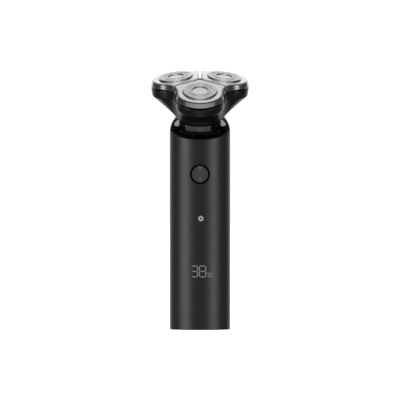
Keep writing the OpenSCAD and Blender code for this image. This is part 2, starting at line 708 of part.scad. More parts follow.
module cutter(k) color("#b9bcbe") lobe_frame(k) difference() {
    union() {
        disc(9.3, -2.7, -2.1);
        disc(3.3, -7, -1.25);
        for (i = [0:14]) rotate([0, 0, 24 * i]) translate([8.75, 0, 0])
            block(-0.85, 0.5, -0.3, 0.3, -2.2, -0.68);
        for (i = [0:8]) rotate([0, 0, 40 * i]) translate([6.15, 0, 0])
            block(-0.65, 0.65, -0.3, 0.3, -2.2, -0.68);
    }
    hex_bar(3.9, -9, -3.6);
    for (i = [0:5]) rotate([0, 0, 60 * i + 30]) translate([5, 0, 0]) disc(1.1, -4, -1);
}

// ---------- output ----------
body_shell();
neck_housing();
base_cap();
base_seal();
base_screws();
usb_port();
usb_tongue();
charge_board();
button_ring();
button_seal();
tact_switch();
main_board();
board_chips();
display_module();
display_light_guide();
status_light_guide();
battery();
inner_frame();
motor_can();
motor_magnets();
motor_end_cap();
motor_bushes();
motor_screws();
shaft_seal();
neck_magnets();
lead_wires();
power_button();
motor_rotor();
motor_shaft();
drive_dog();
head_base();
keeper_ring();
pinion_bush();
gear_cover();
cover_screws();
drive_pinion();
for (k = [0:2]) {
    driven_gear(k);
    spindle(k);
    spindle_spring(k);
    bezel(k);
    lobe_carrier(k);
    guard(k);
    guard_cap(k);
    cutter(k);
}
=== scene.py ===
"""Looks of the rotary shaver: smooth shells, chrome bezels, slotted guards and their materials."""
import json
import math
import bmesh
import bpy
import numpy as np
from mathutils import Matrix, Vector


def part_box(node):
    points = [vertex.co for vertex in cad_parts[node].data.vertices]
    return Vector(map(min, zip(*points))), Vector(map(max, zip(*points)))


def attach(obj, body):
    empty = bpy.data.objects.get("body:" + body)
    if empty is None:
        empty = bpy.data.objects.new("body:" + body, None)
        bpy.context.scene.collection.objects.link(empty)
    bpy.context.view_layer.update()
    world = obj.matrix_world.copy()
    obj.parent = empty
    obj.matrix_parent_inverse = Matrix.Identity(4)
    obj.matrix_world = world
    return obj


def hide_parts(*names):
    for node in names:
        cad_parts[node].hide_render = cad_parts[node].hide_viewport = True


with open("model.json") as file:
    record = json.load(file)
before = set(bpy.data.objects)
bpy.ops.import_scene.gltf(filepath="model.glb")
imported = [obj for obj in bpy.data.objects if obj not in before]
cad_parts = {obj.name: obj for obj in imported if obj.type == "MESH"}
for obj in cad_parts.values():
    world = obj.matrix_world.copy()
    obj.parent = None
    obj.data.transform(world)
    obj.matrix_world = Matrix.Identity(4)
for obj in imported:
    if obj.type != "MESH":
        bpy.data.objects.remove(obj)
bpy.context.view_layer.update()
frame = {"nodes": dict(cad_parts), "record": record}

MM = 0.001
JOINTS = {j["name"]: j for j in frame["record"]["behaviour"]["joints"]}
SLOT_OF = {s["node"]: s["material_slot"] for s in frame["record"]["subparts"]}
LOBES = (1, 2, 3)


# ---------- frames, from the record's joints ----------
def axes_frame(origin, z_axis, x_axis=(1, 0, 0)):
    """The frame at origin with that Z axis, and its X axis as near x_axis as it goes."""
    z = Vector(z_axis).normalized()
    x = Vector(x_axis)
    x = (x - z * x.dot(z)).normalized()
    m = Matrix((x, z.cross(x), z)).transposed().to_4x4()
    m.translation = Vector(origin)
    return m


def lobe_frame(n):
    """Z is the shaving unit's own axis, from its shaving surface. -Y points away from the head's axis."""
    spin = JOINTS[f"cutter_spin_{n}"]
    return axes_frame(spin["pos_m"], spin["axis"], JOINTS[f"lobe_tilt_{n}"]["axis"])


HEAD = axes_frame(JOINTS["motor_spin"]["pos_m"], JOINTS["head_release"]["axis"])
HEAD_TILT = math.acos(HEAD.col[2].z)
LOBE_TILT = math.acos(HEAD.col[2].xyz.dot(lobe_frame(1).col[2].xyz))
LOBE_REACH = -(HEAD.inverted() @ lobe_frame(1).translation).y
LOBE_RISE = (HEAD.inverted() @ lobe_frame(1).translation).z

# ---------- sizes that the frame doesn't state, in metres ----------
HANDLE_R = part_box("body_shell")[1].x
WALL = 1.6 * MM
SHOULDER_Z = 119.5 * MM
SHOULDER_R = 11.6 * MM
BUTTON_R = (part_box("power_button")[1].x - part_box("power_button")[0].x) / 2
LOBE_R = 14.5 * MM
LOBE_SHIFT = 1.2 * MM
VALLEY_REACH = 19.4 * MM
HEAD_RING_R = 14.5 * MM
GUARD_R = 10.3 * MM


# ---------- mesh helpers ----------
def rounded(corners, radii, steps=4, closed=True):
    """Corner points, flat or in space, each swapped for an arc of its radius unless that is 0."""
    out = []
    count = len(corners)
    for i, (p, radius) in enumerate(zip(corners, radii)):
        before, after = corners[i - 1], corners[(i + 1) % count]
        if radius == 0 or (not closed and i in (0, count - 1)):
            out.append(p)
            continue
        back, ahead = before - p, after - p
        reach = min(np.linalg.norm(back), np.linalg.norm(ahead)) * 0.48
        back, ahead = back / np.linalg.norm(back), ahead / np.linalg.norm(ahead)
        half = math.acos(max(-1.0, min(1.0, float(back @ ahead)))) / 2
        reach = min(reach, radius / math.tan(half))
        a, b = p + back * reach, p + ahead * reach
        for t in np.linspace(0, 1, steps + 1):
            out.append((1 - t) ** 2 * a + 2 * t * (1 - t) * p + t**2 * b)
    return np.array(out)


def polar(angle):
    return np.array((math.cos(angle), math.sin(angle)))


def mesh_object(name, points, faces, matrix, sharp=38):
    """A smooth-shaded object with hard edges past the sharp angle, welded and with its normals outward."""
    mesh = bpy.data.meshes.new(name)
    mesh.from_pydata([tuple(map(float, p)) for p in points], [], faces)
    bm = bmesh.new()
    bm.from_mesh(mesh)
    bmesh.ops.remove_doubles(bm, verts=bm.verts, dist=1e-7)
    bmesh.ops.dissolve_degenerate(bm, edges=bm.edges, dist=1e-7)
    bmesh.ops.recalc_face_normals(bm, faces=bm.faces)
    bm.to_mesh(mesh)
    bm.free()
    mesh.shade_smooth()
    mesh.set_sharp_from_angle(angle=math.radians(sharp))
    ob = bpy.data.objects.new(name, mesh)
    bpy.context.scene.collection.objects.link(ob)
    ob.matrix_world = matrix
    return ob


def sweep(name, sections, matrix=Matrix.Identity(4), closed=True, sharp=38):
    """A surface through equal sections placed round a closed path. Open sections end on the axis."""
    count, size = len(sections), len(sections[0])
    points = [p for section in sections for p in section]
    last = size if closed else size - 1
    faces = []
    for i in range(count):
        for j in range(last):
            a, b = i * size + j, i * size + (j + 1) % size
            c, d = (i + 1) % count * size + (j + 1) % size, (i + 1) % count * size + j
            faces.append((a, b, c, d))
    return mesh_object(name, points, faces, matrix, sharp)


def lathe(name, corners, matrix, steps=128, closed=True):
    """Turns a profile of (radius, height, corner radius), in millimetres, round the local Z axis."""
    flat = np.array([c[:2] for c in corners]) * MM
    profile = rounded(flat, [c[2] * MM for c in corners], closed=closed)
    sections = []
    for i in range(steps):
        a = 2 * math.pi * i / steps
        sections.append([(r * math.cos(a), r * math.sin(a), z) for r, z in profile])
    return sweep(name, sections, matrix, closed)


def carve(ob, other, operation="DIFFERENCE"):
    """Cuts the other solid out of ob, or joins it on, and removes the other."""
    cut = ob.modifiers.new("cut", "BOOLEAN")
    cut.operation, cut.solver, cut.object = operation, "MANIFOLD", other
    bpy.context.view_layer.update()
    done = bpy.data.meshes.new_from_object(ob.evaluated_get(bpy.context.evaluated_depsgraph_get()))
    ob.modifiers.clear()
    ob.data = done
    bpy.data.objects.remove(other)
    ob.data.shade_smooth()
    ob.data.set_sharp_from_angle(angle=math.radians(30))


def place(ob, body, material, *nodes):
    """Gives a piece its material, its CAD body and the CAD nodes that it stands for.

    Its place goes into its mesh, unless its material turns round the piece's own Z axis.
    """
    if material not in TURNED:
        ob.data.transform(ob.matrix_world)
        ob.matrix_world = Matrix.Identity(4)
    ob.data.materials.clear()
    ob.data.materials.append(material)
    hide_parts(*nodes)
    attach(ob, body)
    return ob


# ---------- materials ----------
def paint(name, color, roughness, metallic=0.0, **sockets):
    """A new Principled material, with any other shader sockets set by name."""
    mat = bpy.data.materials.new(name)
    mat.use_nodes = True
    shader = mat.node_tree.nodes["Principled BSDF"]
    shader.inputs["Base Color"].default_value = (*color, 1)
    shader.inputs["Roughness"].default_value = roughness
    shader.inputs["Metallic"].default_value = metallic
    for socket, value in sockets.items():
        shader.inputs[socket.replace("_", " ")].default_value = value
    return mat


def new_node(tree, kind, **values):
    """A new node, with inputs set by name where they exist and properties otherwise."""
    made = tree.nodes.new(kind)
    for key, value in values.items():
        label = key.replace("_", " ")
        if label in made.inputs:
            made.inputs[label].default_value = value
        else:
            setattr(made, key, value)
    return made


def node(mat, kind, **values):
    return new_node(mat.node_tree, kind, **values)


def link(mat, source, target):
    mat.node_tree.links.new(source, target)


def noise(mat, size, detail=3.0, stretch=(1, 1, 1)):
    """Noise in the piece's own coordinates, with features of about that size in metres."""
    coords = node(mat, "ShaderNodeTexCoord")
    scaled = node(mat, "ShaderNodeMapping", Scale=stretch)
    made = node(mat, "ShaderNodeTexNoise", Scale=1 / size, Detail=detail)
    link(mat, coords.outputs["Object"], scaled.inputs["Vector"])
    link(mat, scaled.outputs["Vector"], made.inputs["Vector"])
    return made.outputs["Fac"]


def spun(mat, size, seed_height=0.0):
    """Noise that depends only on the distance from the local Z axis: the marks of turning or spinning."""
    coords = node(mat, "ShaderNodeTexCoord")
    parts = node(mat, "ShaderNodeSeparateXYZ")
    flat = node(mat, "ShaderNodeCombineXYZ")
    length = node(mat, "ShaderNodeVectorMath", operation="LENGTH")
    ring = node(mat, "ShaderNodeCombineXYZ", Y=seed_height)
    made = node(mat, "ShaderNodeTexNoise", Scale=1 / size, Detail=4.0)
    link(mat, coords.outputs["Object"], parts.inputs[0])
    link(mat, parts.outputs["X"], flat.inputs["X"])
    link(mat, parts.outputs["Y"], flat.inputs["Y"])
    link(mat, flat.outputs[0], length.inputs[0])
    link(mat, length.outputs["Value"], ring.inputs["X"])
    link(mat, ring.outputs[0], made.inputs["Vector"])
    return made.outputs["Fac"]


def vary(mat, fac, socket, low, high):
    """Drives a number socket of the shader between two values by fac."""
    span = node(mat, "ShaderNodeMapRange")
    span.inputs["From Min"].default_value = 0.3
    span.inputs["From Max"].default_value = 0.7
    span.inputs["To Min"].default_value = low
    span.inputs["To Max"].default_value = high
    link(mat, fac, span.inputs["Value"])
    link(mat, span.outputs["Result"], mat.node_tree.nodes["Principled BSDF"].inputs[socket])


def tint(mat, fac, dark, light):
    """Drives the base colour between two colours by fac."""
    ramp = node(mat, "ShaderNodeValToRGB")
    ramp.color_ramp.elements[0].position = 0.35
    ramp.color_ramp.elements[0].color = (*dark, 1)
    ramp.color_ramp.elements[1].position = 0.65
    ramp.color_ramp.elements[1].color = (*light, 1)
    link(mat, fac, ramp.inputs["Fac"])
    link(mat, ramp.outputs["Color"], mat.node_tree.nodes["Principled BSDF"].inputs["Base Color"])


def relief(mat, fac, depth):
    """Bumps the surface by fac, to that depth in metres."""
    bump = node(mat, "ShaderNodeBump", Distance=depth, Strength=1.0)
    link(mat, fac, bump.inputs["Height"])
    link(mat, bump.outputs["Normal"], mat.node_tree.nodes["Principled BSDF"].inputs["Normal"])


def satin_black():
    mat = paint("satin_black", (0.02, 0.02, 0.021), 0.4, IOR=1.5)
    fine = noise(mat, 0.11 * MM)
    relief(mat, fine, 0.0022 * MM)
    vary(mat, noise(mat, 9 * MM, 5), "Roughness", 0.385, 0.425)
    tint(mat, noise(mat, 0.3 * MM), (0.0185, 0.0185, 0.0195), (0.022, 0.022, 0.023))
    return mat


def gloss_black():
    mat = paint("gloss_black", (0.004, 0.004, 0.0042), 0.05, IOR=1.5)
    vary(mat, noise(mat, 6 * MM, 4), "Roughness", 0.04, 0.065)
    tint(mat, noise(mat, 2 * MM), (0.0036, 0.0036, 0.0039), (0.0046, 0.0046, 0.0048))
    return mat


def head_black():
    mat = paint("head_black", (0.012, 0.012, 0.013), 0.27, IOR=1.5)
    relief(mat, noise(mat, 0.18 * MM), 0.0012 * MM)
    vary(mat, noise(mat, 7 * MM, 4), "Roughness", 0.25, 0.3)
    tint(mat, noise(mat, 1 * MM), (0.0105, 0.0105, 0.0115), (0.0135, 0.0135, 0.0145))
    return mat


def moulded_black(name="moulded_black", level=0.022):
    mat = paint(name, (level,) * 3, 0.5, IOR=1.5)
    relief(mat, noise(mat, 0.16 * MM), 0.006 * MM)
    vary(mat, noise(mat, 4 * MM), "Roughness", 0.46, 0.55)
    tint(mat, noise(mat, 0.5 * MM), (level * 0.85,) * 3, (level * 1.15,) * 3)
    return mat


def chrome():
    mat = paint("bezel_chrome", (0.72, 0.72, 0.73), 0.22, 1.0)
    vary(mat, noise(mat, 1.5 * MM, 5), "Roughness", 0.2, 0.25)
    tint(mat, noise(mat, 3 * MM), (0.69, 0.69, 0.7), (0.75, 0.75, 0.76))
    relief(mat, noise(mat, 0.25 * MM), 0.0008 * MM)
    return mat


def spun_steel(name, level, roughness, anisotropic):
    mat = paint(name, (level,) * 3, roughness, 1.0, Anisotropic=anisotropic, Anisotropic_Rotation=0.25)
    marks = spun(mat, 0.09 * MM)
    relief(mat, marks, 0.0012 * MM)
    vary(mat, marks, "Roughness", roughness * 0.85, roughness * 1.2)
    tint(mat, spun(mat, 0.2 * MM, 0.01), (level * 0.93,) * 3, (level * 1.05,) * 3)
    tangent = node(mat, "ShaderNodeTangent", direction_type="RADIAL", axis="Z")
    link(mat, tangent.outputs[0], mat.node_tree.nodes["Principled BSDF"].inputs["Tangent"])
    return mat


def plain_metal(name, color, roughness):
    mat = paint(name, color, roughness, 1.0)
    marks = noise(mat, 0.25 * MM, 4, (1, 1, 0.15))
    relief(mat, marks, 0.0015 * MM)
    vary(mat, marks, "Roughness", roughness * 0.8, roughness * 1.25)
    tint(mat, noise(mat, 2 * MM), tuple(c * 0.9 for c in color), tuple(c * 1.08 for c in color))
    return mat


def plain_plastic(name, color, roughness, **sockets):
    mat = paint(name, color, roughness, **sockets)
    relief(mat, noise(mat, 0.2 * MM), 0.002 * MM)
    vary(mat, noise(mat, 3 * MM), "Roughness", roughness * 0.9, roughness * 1.1)
    tint(mat, noise(mat, 1.5 * MM), tuple(c * 0.92 for c in color), tuple(c * 1.06 for c in color))
    return mat


SATIN = satin_black()
GLOSS = gloss_black()
HEAD_BLACK = head_black()
CHROME = chrome()
GUARD_STEEL = spun_steel("guard_steel", 0.7, 0.26, 0.5)
CAP_STEEL = spun_steel("cap_steel", 0.74, 0.3, 0.7)
BUTTON_METAL = spun_steel("button_metal", 0.15, 0.3, 0.85)
TURNED = (GUARD_STEEL, CAP_STEEL, BUTTON_METAL)
LIT = {"Emission_Color": (1, 1, 1, 1)}
LIGHT_GUIDE = plain_plastic("light_guide", (0.3, 0.3, 0.31), 0.5, Emission_Strength=0.2, **LIT)
STATUS_LIGHT = plain_plastic("status_light", (0.4, 0.4, 0.41), 0.5, Emission_Strength=0.4, **LIT)
FINISH = {
    "shell_black": SATIN,
    "gloss_black": GLOSS,
    "head_black": HEAD_BLACK,
    "base_black": moulded_black("base_black", 0.018),
    "button_metal": BUTTON_METAL,
    "bezel_chrome": CHROME,
    "guard_steel": GUARD_STEEL,
    "cap_steel": CAP_STEEL,
    "cutter_steel": plain_metal("cutter_steel", (0.5, 0.51, 0.52), 0.3),
    "port_steel": plain_metal("port_steel", (0.55, 0.55, 0.56), 0.28),
    "inner_black": moulded_black("inner_black", 0.026),
    "seal_rubber": plain_plastic("seal_rubber", (0.02, 0.02, 0.021), 0.7),
    "board_green": plain_plastic("board_green", (0.015, 0.1, 0.04), 0.35),
    "light_guide": LIGHT_GUIDE,
    "cell_sleeve": plain_plastic("cell_sleeve", (0.04, 0.13, 0.28), 0.3),
    "motor_steel": plain_metal("motor_steel", (0.48, 0.48, 0.49), 0.35),
    "bronze": plain_metal("bronze", (0.55, 0.38, 0.18), 0.4),
    "magnet": plain_metal("magnet", (0.25, 0.25, 0.26), 0.45),
    "winding": plain_metal("winding", (0.5, 0.23, 0.1), 0.35),
    "wire": plain_plastic("wire", (0.3, 0.02, 0.02), 0.5),
    "acetal": plain_plastic("acetal", (0.7, 0.67, 0.6), 0.38, Subsurface_Weight=0.1),
}
for name, ob in frame["nodes"].items():
    ob.data.materials.clear()
    ob.data.materials.append(STATUS_LIGHT if name == "status_light_guide" else FINISH[SLOT_OF[name]])


# ---------- handle ----------
FOOT_R = 0.45 * MM
OUTER_LEVELS = (0, 30, 60, 88, 99)
INNER_LEVELS = (0, 60, 99)
NECK_LEVELS = (104, 112)
NECK_FOOT_Z = 98 * MM
NECK_GAP = 0.05 * MM
NECK_TOP = -0.5 * MM
NECK_RECESS = 0.25 * MM
CUT_DEPTH = 7.2 * MM
CUT_BACK = -1.5 * MM
CUT_FILLET = 4.5 * MM
CUT_REACH = 40 * MM
CUT_HALF = 30 * MM
SHOULDER_TURN = math.radians(62)
SHOULDER_STEPS = 36
WEB_X = 17.5 * MM
WEB_Y = -0.75 * MM
WEB_W = 5 * MM
WEB_TURN = math.radians(27)
WEB_BACK = 2 * MM
WEB_INNER = 9.5 * MM
WEB_BOTTOM = -8 * MM
ROUND_STEPS = 320
# The collar and its hollow in the head's frame, in millimetres
COLLAR_R = 13
COLLAR_FOOT = -6
COLLAR_TOP = 0.5
COLLAR_STEPS = 256
FLARE_R = 1.8
CHAMFER_Z = -2.1
CHAMFER = 0.5
SOCKET_R, SOCKET_FLOOR = 10.7, -4.4
NECK_BORE_R = 3.85
NECK_BOTTOM = -8.2
# Cutters reach this far past what they cut, in millimetres
FAR = 40


def wall_line(angle, inset, levels):
    """The handle's wall at an angle round it, inset from its outside, up its levels and shoulder."""
    radius, fillet = HANDLE_R - inset, SHOULDER_R + 0.6 * inset
    lean = math.sin(angle) * math.tan(HEAD_TILT)
    line = [(radius, z * MM) for z in levels]
    for turn in np.linspace(0, SHOULDER_TURN, SHOULDER_STEPS):
        r = radius - fillet * (1 - math.cos(turn))
        line.append((r, SHOULDER_Z + fillet * math.sin(turn) + r * lean))
    return [np.array((r * math.cos(angle), r * math.sin(angle), z)) for r, z in line]


def front_cut(grow):
    """The block cut out of the shoulder's front, enlarged by grow: a floor, a back wall and a fillet."""
    back, level = CUT_BACK + grow, -CUT_DEPTH - grow
    centre = np.array((back - CUT_FILLET, level + CUT_FILLET))
    turns = np.radians(np.linspace(-90, 0, 33))
    fillet = [centre + CUT_FILLET * polar(t) for t in turns]
    outline = [(-CUT_REACH, level), *fillet, (back, CUT_HALF), (-CUT_REACH, CUT_HALF)]
    count = len(outline)
    points = [(x, y, z) for x in (-CUT_HALF, CUT_HALF) for y, z in outline]
    sides = [(i, (i + 1) % count, count + (i + 1) % count, count + i) for i in range(count)]
    ends = [tuple(range(count - 1, -1, -1)), tuple(range(count, 2 * count))]
    return mesh_object("front_cut", points, sides + ends, HEAD)


def disc(name, radius, bottom, top, matrix=HEAD):
    """A plain round cutter, in millimetres along the local Z axis."""
    outline = [(0, bottom, 0), (radius, bottom, 0), (radius, top, 0), (0, top, 0)]
    return lathe(name, outline, matrix, 160, closed=False)


def make_shell():
    sections = []
    for i in range(ROUND_STEPS):
        a = 2 * math.pi * i / ROUND_STEPS
        outer = wall_line(a, 0, OUTER_LEVELS)
        inner = wall_line(a, WALL, INNER_LEVELS)[::-1]
        radii = [FOOT_R] + [0] * (len(outer) + len(inner) - 1)
        sections.append(rounded(np.array(outer + inner), radii))
    shell = sweep("shell", sections)
    low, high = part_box("button_ring")
    centre = (low + high) / 2
    button_at = axes_frame((centre.x, 0, centre.z), (0, -1, 0))
    carve(shell, front_cut(0))
    carve(shell, disc("above", FAR, NECK_TOP / MM - 0.1, FAR))
    carve(shell, disc("collar_hole", COLLAR_R + 0.15, COLLAR_FOOT, COLLAR_TOP))
    carve(shell, disc("bore", BUTTON_R / MM + 1.2, 5, FAR, button_at))
    return place(shell, "handle", SATIN, "body_shell")


def neck_blank(name):
    """The solid that fills the shell's shoulder, before anything is cut from it."""
    foot, top = np.array((0, 0, NECK_FOOT_Z)), np.array((0, 0, SHOULDER_Z + SHOULDER_R))
    sections = []
    for i in range(ROUND_STEPS):
        line = wall_line(2 * math.pi * i / ROUND_STEPS, WALL + NECK_GAP, NECK_LEVELS)
        sections.append([foot, *line, top])
    return sweep(name, sections, closed=False)


def make_web(side, name):
    """The glossy facet that joins the collar's side to the neck's back wall."""
    near = (WEB_X - WEB_W, WEB_Y - WEB_W * math.tan(WEB_TURN))
    plan = [(WEB_X, WEB_Y), near, (WEB_INNER, WEB_BACK), (WEB_X, WEB_BACK)]
    points = [(side * x, y, z) for x, y in plan for z in (WEB_BOTTOM, NECK_TOP)]
    sides = [(2 * i, 2 * i + 1, (2 * i + 3) % 8, (2 * i + 2) % 8) for i in range(4)]
    ends = [(0, 2, 4, 6), (1, 3, 5, 7)]
    web = neck_blank(name)
    carve(web, mesh_object("web_prism", points, sides + ends, HEAD), "INTERSECT")
    return place(web, "handle", GLOSS, "neck_housing")


def make_neck():
    """The glossy neck: a blank with the front cut away round a flared post, and the collar on the post."""
    neck = neck_blank("neck")
    cut = front_cut(NECK_RECESS)
    middle, low = COLLAR_R + FLARE_R, FLARE_R - (CUT_DEPTH + NECK_RECESS) / MM
    turns = np.linspace(-math.pi / 2, -math.pi, 25)
    flare = [(middle + FLARE_R * math.cos(t), low + FLARE_R * math.sin(t)) for t in turns]
    rim = COLLAR_R - CHAMFER
    post = [(0, -FAR), (middle, -FAR), *flare, (COLLAR_R, CHAMFER_Z), (rim, COLLAR_TOP), (0, COLLAR_TOP)]
    carve(cut, lathe("collar_flare", [(r, z, 0) for r, z in post], HEAD, COLLAR_STEPS, closed=False))
    carve(neck, cut)
    skin = 0.02
    wide = COLLAR_R + skin
    side = [(0, COLLAR_FOOT, 0), (wide, COLLAR_FOOT, 0), (wide, CHAMFER_Z, CHAMFER)]
    collar = [*side, (rim + skin, COLLAR_TOP, 0), (0, COLLAR_TOP, 0)]
    carve(neck, lathe("collar", collar, HEAD, COLLAR_STEPS, closed=False), "UNION")
    carve(neck, disc("above", FAR, NECK_TOP / MM, FAR))
    carve(neck, disc("below", FAR, -2 * FAR, NECK_BOTTOM))
    carve(neck, disc("socket", SOCKET_R, SOCKET_FLOOR, FAR))
    carve(neck, disc("bore", NECK_BORE_R, -FAR, FAR))
    return place(neck, "handle", GLOSS, "neck_housing")


# Corners by the button's edge, in millimetres: radius past the edge, height past the face, corner radius
BUTTON_EDGE = [(0, -2.9, 0), (0, -0.05, 0.22), (-1.2, 0, 0.4)]
BUTTON_DISH = 0.1
SURROUND = [
    (0.15, -2.4, 0), (1.15, -2.4, 0), (1.15, 0.35, 0.15),
    (0.85, 0.35, 0.15), (0.55, 0, 0.15), (0.15, 0, 0.1),
]


def make_button():
    low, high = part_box("power_button")
    frame_at = axes_frame(((low.x + high.x) / 2, 0, (low.z + high.z) / 2), (0, -1, 0))
    face = -low.y / MM
    r = BUTTON_R / MM
    edge = [(r + past, face + up, corner) for past, up, corner in BUTTON_EDGE]
    corners = [(0, edge[0][1], 0), *edge, (0, face - BUTTON_DISH, 0)]
    button = lathe("button", corners, frame_at, closed=False)
    place(button, "button", BUTTON_METAL, "power_button")
    ring_face = -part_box("button_ring")[0].y / MM
    corners = [(r + past, ring_face + up, corner) for past, up, corner in SURROUND]
    ring = lathe("button_surround", corners, frame_at)
    place(ring, "handle", GLOSS, "button_ring")
    return button


# ---------- head ----------
def blend_centre(centre, valley):
    """Distance from the head's axis to the middle of the arc that joins two lobes."""
    return (centre**2 - (LOBE_R - valley) ** 2) / (centre + 2 * (LOBE_R - valley))


def half_outline(centre, valley, inset, start, steps):
    """Half of a lobe's plan, from an angle on the blend arc to the lobe's tip at -90 degrees."""
    q = blend_centre(centre, valley)
    turn = math.atan2(centre - q / 2, q * math.sqrt(3) / 2)
    far = q - valley + inset
    blend_turns = np.linspace(start, turn, steps, endpoint=False)
    side_turns = np.linspace(turn, -math.pi / 2, steps + 1)
    blend = [q * polar(-math.pi / 6) - far * polar(a) for a in blend_turns]
    return blend + [np.array((0, -centre)) + (LOBE_R - inset) * polar(a) for a in side_turns]


def trefoil(centre, valley, inset):
    """The whole three-lobed plan, in order round the head's axis."""
    half = half_outline(centre, valley, inset, -math.pi / 6, 22)
    lobe = half[::-1]
    lobe = [p * np.array((-1, 1)) for p in half] + lobe[1:-1]
    ring = []
    for k in range(3):
        a = 2 * math.pi * k / 3
        turn = np.array(((math.cos(a), -math.sin(a)), (math.sin(a), math.cos(a))))
        ring += [turn @ p for p in lobe]
    return ring


# As the level of the head's wall rises, its valleys move out by this share of what its lobes do
VALLEY_SHARE = 0.45


def wall_ring(level, inset, dip=0):
    """The head's outer wall at a level of the tilted lobes, drawing in as the level drops.

    The valleys between the lobes lie lower by about dip.
    """
    shift = level * math.sin(LOBE_TILT)
    ring = []
    for p in trefoil(LOBE_REACH + LOBE_SHIFT + shift, VALLEY_REACH + VALLEY_SHARE * shift, inset):
        along = max(float(p @ polar(-math.pi / 2 + 2 * math.pi * k / 3)) for k in range(3))
        valley = 2 * max(0, 1 - along / LOBE_REACH)
        rise = level - dip * valley + math.sin(LOBE_TILT) * (LOBE_REACH - along)
        ring.append(np.array((*p, LOBE_RISE + rise / math.cos(LOBE_TILT))))
    return ring


BASE_TOP = -5.5 * MM
BASE_DIP = 0.9 * MM
CREASE = -10.2 * MM
BASE_WALL = 1.1 * MM
# The cup's inner floor: its level, and its size as a share of the plan at the crease
FLOOR_LEVEL = 10 * MM
FLOOR_SHARE = 0.93
# The cup's hole and the ring under it, in millimetres: radius and level
BASE_NECK = [(4.5, 10), (4.5, 5), (8.5, 5), (8.5, -3.2), (10.5, -3.2), (10.5, 0)]
# Corner radii of the cup's section, from the ring's outside up, over the rim and back down to the ring
BASE_RADII = (0.5, 1.5, 0.35, 0.3, 0, 0.1, 0.1, 0.2, 0.25, 0.3, 0.1)


def round_point(angle, radius, level):
    """A point at an angle round the local Z axis, with its radius and level in millimetres."""
    return np.array((*(radius * MM * polar(angle)), level * MM))


def make_head_base():
    top_out, top_in = wall_ring(BASE_TOP, 0, BASE_DIP), wall_ring(BASE_TOP, BASE_WALL, BASE_DIP)
    crease = wall_ring(CREASE, 0)
    floor = [np.array((*(FLOOR_SHARE * p[:2]), FLOOR_LEVEL)) for p in wall_ring(CREASE, 2 * BASE_WALL)]
    sections = []
    for outer, inner, fold, ground in zip(top_out, top_in, crease, floor):
        a = math.atan2(fold[1], fold[0])
        neck = [round_point(a, radius, level) for radius, level in BASE_NECK]
        corners = [round_point(a, HEAD_RING_R / MM, 0), fold, outer, inner, ground, *neck]
        sections.append(rounded(np.array(corners), np.array(BASE_RADII) * MM, 7))
    base = sweep("head_cup", sections, HEAD, sharp=45)
    return place(base, "head", HEAD_BLACK, "head_base")


WEDGE_GAP = 1.05 * MM
NOSE_R = 2.4 * MM


def lobe_outline(inset, flank):
    """Plan of one lobe about its own shaving unit. Its straight sides are inset by flank instead."""
    centre = LOBE_REACH + LOBE_SHIFT
    q = blend_centre(centre, VALLEY_REACH)
    side = WEDGE_GAP + flank
    dip = math.asin(side / (q - VALLEY_REACH + inset))
    nose = np.array((0, -(side + NOSE_R) * 2 / math.sqrt(3)))
    point = [nose + NOSE_R * polar(a) for a in np.linspace(math.pi / 2, math.pi / 6, 9)]
    half = half_outline(centre, VALLEY_REACH, inset, -math.pi / 6 + dip, 26)
    straight = [point[-1] + (half[0] - point[-1]) * t for t in (0.25, 0.5, 0.75)]
    right = point + straight + half
    left = [p * np.array((-1, 1)) for p in right[-2:0:-1]]
    return [p + np.array((0, LOBE_REACH)) for p in right + left]


# The bezel's skin, in millimetres from its lower edge up: inset of the round side, inset of the straight
# sides, level and edge radius
BEZEL_SKIN = [
    (0.1, 0.1, -4.4, 0.1), (0, 0, -4.1, 0.25), (0.9, 0.05, -1.75, 0.9), (1.7, 0.25, -1.1, 0.6),
]
# Its hole: radius past the hole's, level and edge radius
BEZEL_HOLE_R = GUARD_R + 0.25 * MM
BEZEL_HOLE = [(0, -1.1, 0.22), (0, -2.4, 0), (0.9, -2.4, 0)]
# Its inner side: both insets, and then each corner's level and edge radius
BEZEL_INSETS = (2.05 * MM, 1.2 * MM)
BEZEL_INSIDE = [(-3.9, 0), (-4.4, 0.1)]
# The lower edge drops towards the head's axis, over a stretch of the lobe's local Y
LOWER_EDGE = -4
EDGE_DROP = 0.9 * MM
DROP_FROM, DROP_OVER = -4 * MM, 9 * MM


def bezel_level(z, along):
    """A level of the bezel in metres, at a place along the lobe's local Y."""
    if z >= LOWER_EDGE:
        return z * MM
    return z * MM - EDGE_DROP * min(1, max(0, (along - DROP_FROM) / DROP_OVER))


def make_bezel(n):
    skin = [lobe_outline(inset * MM, flank * MM) for inset, flank, _, _ in BEZEL_SKIN]
    inside = lobe_outline(*BEZEL_INSETS)
    radii = np.array([row[-1] for row in BEZEL_SKIN + BEZEL_HOLE + BEZEL_INSIDE]) * MM
    sections = []
    for i, top in enumerate(skin[-1]):
        out = top / np.linalg.norm(top)
        corners = [np.array((*ring[i], bezel_level(row[2], top[1]))) for ring, row in zip(skin, BEZEL_SKIN)]
        corners += [np.array((*(out * (BEZEL_HOLE_R + past * MM)), z * MM)) for past, z, _ in BEZEL_HOLE]
        corners += [np.array((*inside[i], bezel_level(z, top[1]))) for z, _ in BEZEL_INSIDE]
        sections.append(rounded(np.array(corners), radii, 5))
    bezel = sweep(f"bezel_trim_{n}", sections, lobe_frame(n), sharp=50)
    return place(bezel, f"lobe_{n}", CHROME, f"bezel_{n}")


